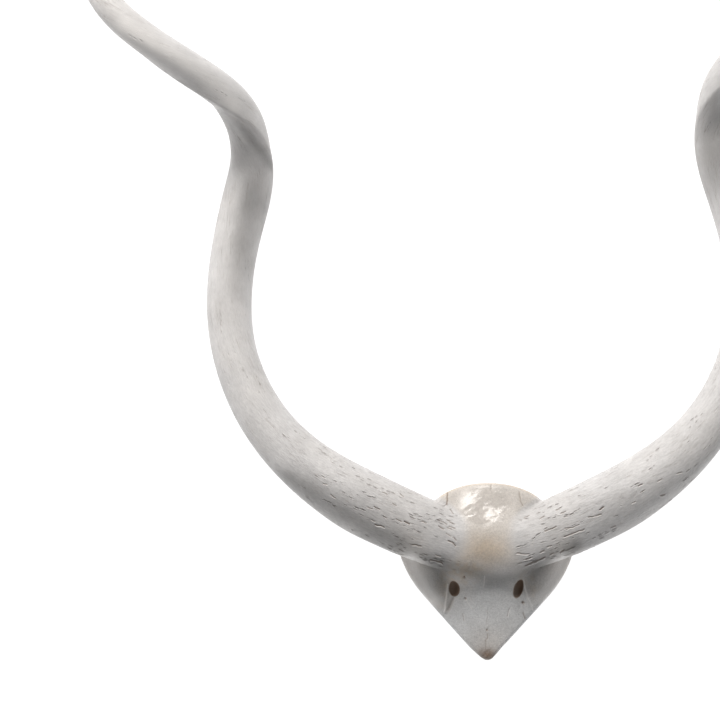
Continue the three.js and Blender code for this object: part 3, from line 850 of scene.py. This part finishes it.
def ring_mesh(horn):
    """Places along and turns around a horn for all points, and the triangles between them."""
    start = np.interp(HORN_STARTS, PLACE_TABLE, horn["length"])
    whole = horn["length"][-1]
    rings = []
    for near, far, spacing, share in RING_ZONES:
        for where in np.arange(max(near, start), min(far, whole - 0.4 * spacing), spacing):
            rings.append((where, RING_POINTS // share))
    where = np.concatenate([np.full(count, at) for at, count in rings] + [[whole]])
    turn = np.concatenate([np.arange(count) * 360 / count for _, count in rings] + [[0.0]])
    first = np.concatenate([[0], np.cumsum([count for _, count in rings])])
    triangles = []
    for i in range(len(rings) - 1):
        a, b = np.arange(first[i], first[i + 1]), np.arange(first[i + 1], first[i + 2])
        if len(a) == len(b):
            next_a, next_b = np.roll(a, -1), np.roll(b, -1)
            fans = ((a, next_a, b), (next_a, next_b, b))
        else:
            even, odd, after, next_b = a[::2], a[1::2], np.roll(a[::2], -1), np.roll(b, -1)
            fans = ((even, odd, b), (odd, after, next_b), (odd, next_b, b))
        triangles += [np.stack(fan, 1) for fan in fans]
    last = np.arange(first[-2], first[-1])
    triangles.append(np.stack([last, np.roll(last, -1), np.full(len(last), first[-1])], 1))
    return where, turn, np.vstack(triangles)


def horn_surface(horn, where, turn):
    """Points of the plain surface, the ways out of it, radii, and how far the skull's bone buries it."""
    t = np.interp(where, horn["length"], PLACE_TABLE)
    rows = horn_frames(horn, t)
    angle = np.radians(turn + np.interp(t, PLACE_TABLE, horn["wound"]))
    out = rows[:, 6:9] * np.cos(angle)[:, None] + rows[:, 9:12] * np.sin(angle)[:, None]
    tip = np.clip((t - HORN_END + TIP_LENGTH) / TIP_LENGTH, 0, 1)
    radius = rows[:, 12] * np.sqrt(np.clip(1 - tip ** 2, 0, 1))
    reach = radius * section_swell(np.degrees(angle), rows[:, 13], rows[:, 14])
    # Near the skull the surface swells out into the rest of the bone, or dives under it.
    near = np.flatnonzero(t < BLENDS_UNTIL)
    start = rows[near, :3] + reach[near, None] * out[near]
    low, high = np.zeros(len(near)), np.full(len(near), MOST_SWELL)
    for _ in range(SWELL_ROUNDS):
        middle = (low + high) / 2
        outside = in_chunks(bone_distance, start + middle[:, None] * out[near]) > 0
        high = np.where(outside, middle, high)
        low = np.where(outside, low, middle)
    swell = np.zeros(len(t))
    swell[near] = np.where(high < 0.02, 0, (low + high) / 2)
    dive = SINK_DEPTH * (1 - smooth_step(t, *HORN_EMERGES))
    reach += swell - 0.15 * np.maximum(swell - OWN_SURFACE[0], 0) ** 2 + 0.01 - dive
    points = rows[:, :3] + np.maximum(reach, 0)[:, None] * out
    points[:, 2] = np.maximum(points[:, 2], 0.02)
    return points, out, radius, smooth_step(swell, *OWN_SURFACE)


def make_horn(name, horn):
    where, turn, triangles = ring_mesh(horn)
    if horn["side"] < 0:
        triangles = triangles[:, ::-1]
    for first in (True, False):
        points = horn_surface(horn, where, turn)[0]
        close = stroke_fields(points)[3] | (pore_fields(horn, where, turn)[1])
        angle = np.radians(turn)
        spots = np.stack([where, np.cos(angle), np.sin(angle)], 1)
        spots, triangles = split_triangles(spots, triangles, to_split(points, triangles, close, first))
        fresh = slice(len(where), None)
        where = spots[:, 0]
        turn = np.concatenate([turn, np.degrees(np.arctan2(spots[fresh, 2], spots[fresh, 1])) % 360])
    points, out, radius, buried = horn_surface(horn, where, turn)
    normals = normals_of(points, triangles)
    facing = smooth_step(normals[:, 2], *TURNED_UP)
    lift, brown, painted_light, _ = stroke_fields(points)
    depth = pore_fields(horn, where, turn)[0]
    slim = np.clip(radius / SLIM_RADIUS, 0, 1)
    waves = FLUTE_HEIGHT * flute_waves(horn, where, turn) * np.clip(radius / 22, 0.2, 1)
    lift = (lift * facing - depth * slim + waves * slim) * (1 - buried)
    root = np.ones(len(points))
    # Painted shade in the pores, over some real brown.
    hollow_shade_and_stain = pore_shade_and_stain(depth) * slim * (1 - buried)
    points = points + out * lift[:, None]
    fields = dict(
        shades(points, normals, root), brown=brown * facing, painted_light=painted_light * facing, hollow_shade_and_stain=hollow_shade_and_stain,
        root=root, grain=grain_of(horn, where, turn, radius), gloss=np.zeros(len(points)),
        spongy=np.zeros(len(points)), worn=smooth_step(where, *WORN_ALONG),
    )
    return mesh_object(name + "_bone", points, triangles, fields)


# Materials.

class Nodes:
    """Short words for building a material's nodes."""

    def __init__(self, material):
        self.tree = material.node_tree
        self.tree.nodes.clear()

    def feed(self, socket, value):
        if isinstance(value, bpy.types.NodeSocket):
            self.tree.links.new(value, socket)
        else:
            socket.default_value = value

    def add(self, kind, inputs=None, **settings):
        node = self.tree.nodes.new("ShaderNode" + kind)
        for key, value in settings.items():
            setattr(node, key, value)
        for key, value in (inputs or {}).items():
            self.feed(node.inputs[key], value)
        return node

    def value(self, name):
        return self.add("Attribute", attribute_name=name).outputs["Fac"]

    def vector(self, name):
        return self.add("Attribute", attribute_name=name).outputs["Vector"]

    def mix(self, share, a, b, blend="MIX"):
        node = self.add("Mix", data_type="RGBA", blend_type=blend)
        for index, value in ((0, share), (6, a), (7, b)):
            self.feed(node.inputs[index], value)
        return node.outputs[2]

    def maths(self, operation, a, b):
        return self.add("Math", {0: a, 1: b}, operation=operation).outputs[0]

    def noise(self, where, scale, detail=4, rough=0.55):
        inputs = {"Vector": where, "Scale": scale, "Detail": detail, "Roughness": rough}
        return self.add("TexNoise", inputs).outputs["Fac"]

    def spread(self, value, low, high, to_low=0.0, to_high=1.0):
        inputs = {"Value": value, 1: low, 2: high, 3: to_low, 4: to_high}
        return self.add("MapRange", inputs).outputs[0]


HORN_BONE = (0.700, 0.685, 0.680, 1)
COOL_BONE = (0.705, 0.710, 0.715, 1)
WARM_BONE = (0.725, 0.675, 0.625, 1)
# The colour of stains, also used for painted shade at the brow's foot and on the crown's rim wall.
STAIN_AND_SHADE_BONE = (0.710, 0.590, 0.465, 1)
# The colour of painted light.
PAINTED_LIGHT_BONE = (0.96, 0.93, 0.905, 1)
BROWN = (0.20, 0.115, 0.062, 1)
# The colour of painted shade in pores and brow holes, over their own brown.
HOLLOW_SHADE_BROWN = (0.15, 0.095, 0.06, 1)
# Each pair is the value on plain bone and on the polished crown.
ROUGHNESS = (0.43, 0.1)
COARSE_BUMP = (0.3, 0.9)
FINE_BUMP = (0.95, 0.1)
COARSE_BUMP_HEIGHT = 0.0006
FINE_BUMP_HEIGHT = 0.0007


def bone_material(name):
    material = bpy.data.materials.new(name)
    material.use_nodes = True
    n = Nodes(material)
    place = n.add("TexCoord").outputs["Object"]
    root = n.value("root")
    hollow_shade_and_stain, gloss, spongy, worn = (n.value(key) for key in ("hollow_shade_and_stain", "gloss", "spongy", "worn"))
    fibres = n.noise(n.vector("grain"), 30, 8, 0.72)
    long_grain = n.add("Mapping", {"Vector": n.vector("grain"), "Scale": (0.22, 1, 1)}).outputs[0]
    streaks = n.spread(n.noise(long_grain, 44, 4, 0.6), 0.36, 0.43, 1, 0)
    streaks = n.maths("MULTIPLY", streaks, n.spread(n.noise(n.vector("grain"), 6, 3), 0.42, 0.6))
    streaks = n.maths("MULTIPLY", streaks, root)
    plain = n.noise(place, 560, 5, 0.78)
    texture = n.maths("ADD", n.maths("MULTIPLY", fibres, root), n.maths(
        "MULTIPLY", plain, n.maths("SUBTRACT", 1.0, root)))
    even = n.maths("MULTIPLY", worn, 0.6)
    texture = n.maths("ADD", n.maths("MULTIPLY", texture, n.maths("SUBTRACT", 1.0, even)),
                      n.maths("MULTIPLY", even, 0.5))
    base = n.mix(n.value("cool"), HORN_BONE, COOL_BONE)
    base = n.mix(n.value("warm"), base, WARM_BONE)
    # Brown stains, which at the brow's foot and on the crown's steep rim wall are also painted shade.
    tan = n.maths("MULTIPLY", n.value("tan"), n.spread(n.noise(place, 120, 5), 0.3, 0.7, 0.75, 1.1))
    base = n.mix(tan, base, STAIN_AND_SHADE_BONE)
    tint = n.spread(n.noise(place, 14, 3), 0.35, 0.7)
    base = n.mix(n.maths("MULTIPLY", tint, 0.25), base, WARM_BONE)
    shade = n.maths("MULTIPLY", n.spread(n.noise(place, 45, 5), 0.3, 0.7, 0.91, 1.07),
                    n.spread(texture, 0.3, 0.7, 0.80, 1.17))
    # Painted shade darkens the base colour where the painted shade attribute is set.
    shade = n.maths("MULTIPLY", shade, n.maths("SUBTRACT", 1.0, n.value("painted_shade")))
    base = n.mix(1.0, base, n.add("CombineColor", {0: shade, 1: shade, 2: shade}).outputs[0], "MULTIPLY")
    base = n.mix(n.maths("MULTIPLY", streaks, 0.22), base, BROWN)
    # Painted light: paler bone for painted highlights on raised lines and pore lips, and on the wide pale
    # strokes.
    base = n.mix(n.value("painted_light"), base, PAINTED_LIGHT_BONE)
    base = n.mix(n.spread(n.value("brown"), 0, 1, 0, 0.85), base, BROWN)
    # Painted shade, over some real brown, in pores and brow holes.
    base = n.mix(n.spread(hollow_shade_and_stain, 0.1, 1), base, HOLLOW_SHADE_BROWN)
    sponge = n.noise(place, 900, 3, 0.7)
    base = n.mix(n.maths("MULTIPLY", spongy, n.spread(sponge, 0.42, 0.62, 0, 0.8)), base, BROWN)
    rough = n.spread(gloss, 0, 1, *ROUGHNESS)
    rough = n.maths("ADD", rough, n.spread(n.noise(place, 60), 0.3, 0.7, -0.05, 0.07))
    rough = n.maths("ADD", rough, n.spread(hollow_shade_and_stain, 0, 1, 0, 0.3))
    rough = n.maths("ADD", rough, n.maths("MULTIPLY", spongy, 0.3))
    coarse = n.add("Bump", {
        "Strength": n.spread(gloss, 0, 1, *COARSE_BUMP),
        "Distance": COARSE_BUMP_HEIGHT,
        "Height": n.noise(place, 160, 4),
    })
    relief = n.maths("SUBTRACT", texture, n.maths("MULTIPLY", streaks, 0.25))
    fine = n.add("Bump", {
        "Strength": n.spread(gloss, 0, 1, *FINE_BUMP),
        "Distance": FINE_BUMP_HEIGHT,
        "Height": relief,
        "Normal": coarse.outputs[0],
    })
    shader = n.add("BsdfPrincipled", {"Base Color": base, "Roughness": rough, "Normal": fine.outputs[0]})
    shader.inputs["Specular IOR Level"].default_value = 0.5
    out = n.add("OutputMaterial")
    n.tree.links.new(shader.outputs[0], out.inputs[0])
    return material


# The object.
bone_cap = bone_material("polished_cap_bone")
bone_horn = bone_material("grained_horn_bone")

cap = make_cap()
cap.data.materials.append(bone_cap)
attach(cap, "root")
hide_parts("skull_cap")

for name, horn in HORNS.items():
    piece = make_horn(name, horn)
    piece.data.materials.append(bone_horn)
    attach(piece, "root")
    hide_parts(name)


# The stage: a bright white floor that casts no shadows.
STAGE_HALF = 40.0
FLOOR_LEVEL = -0.0004
LIGHTS_AIM = (0, 0.22, 0.05)
WORLD_STRENGTH = 0.16
SOFTBOXES = (
    dict(name="key", direction=(-0.24, 0.745, 0.62), distance=2.6, size=(1.8, 0.85), watts=64,
         tint=(1, 0.975, 0.945)),
    dict(name="low_fill", direction=(0, -0.7, 0.6), distance=2.6, size=(1.8, 0.8), watts=7),
    dict(name="left_fill", direction=(-0.95, 0.25, 0.12), distance=2.4, size=(0.25, 0.8), watts=5),
    dict(name="right_fill", direction=(0.95, 0.25, 0.12), distance=2.4, size=(0.25, 0.8), watts=3),
)


def make_stage():
    sides = ((-1, -1), (1, -1), (1, 1), (-1, 1))
    corners = [(x * STAGE_HALF, y * STAGE_HALF, FLOOR_LEVEL) for x, y in sides]
    mesh = bpy.data.meshes.new("floor")
    mesh.from_pydata(corners, [], [(0, 1, 2, 3)])
    floor = bpy.data.objects.new("floor", mesh)
    bpy.context.scene.collection.objects.link(floor)
    material = bpy.data.materials.new("white_floor")
    material.use_nodes = True
    shader = material.node_tree.nodes["Principled BSDF"]
    shader.inputs["Base Color"].default_value = (0.2, 0.2, 0.2, 1)
    shader.inputs["Roughness"].default_value = 0.9
    shader.inputs["Specular IOR Level"].default_value = 0.1
    shader.inputs["Emission Color"].default_value = (1, 1, 1, 1)
    shader.inputs["Emission Strength"].default_value = 1.0
    mesh.materials.append(material)
    floor.visible_shadow = False


def add_softbox(name, direction, distance, size, watts, tint=(1, 1, 1)):
    """An area light that looks at the middle of the object."""
    light = bpy.data.lights.new(name, "AREA")
    light.shape = "RECTANGLE"
    light.size, light.size_y = size
    light.energy = watts
    light.color = tint
    obj = bpy.data.objects.new(name, light)
    way = Vector(direction).normalized()
    obj.location = Vector(LIGHTS_AIM) + way * distance
    obj.rotation_euler = way.to_track_quat("Z", "Y").to_euler()
    obj.visible_camera = False
    bpy.context.scene.collection.objects.link(obj)


def set_world(strength):
    world = bpy.data.worlds.new("studio")
    world.use_nodes = True
    background = world.node_tree.nodes["Background"]
    background.inputs[0].default_value = (1, 1, 1, 1)
    background.inputs[1].default_value = strength
    bpy.context.scene.world = world


def set_camera():
    data = bpy.data.cameras.new("camera")
    data.lens = LENS_MM
    data.sensor_width = SENSOR_MM
    data.sensor_fit = "AUTO"
    camera = bpy.data.objects.new("camera", data)
    camera.location = [value * MM for value in CAMERA_AT]
    camera.rotation_euler = (0, math.radians(CAMERA_TURN), 0)
    bpy.context.scene.collection.objects.link(camera)
    bpy.context.scene.camera = camera


make_stage()
for softbox in SOFTBOXES:
    add_softbox(**softbox)
set_world(WORLD_STRENGTH)
set_camera()
bpy.context.scene.view_settings.view_transform = "Standard"
bpy.context.scene.view_settings.look = "None"
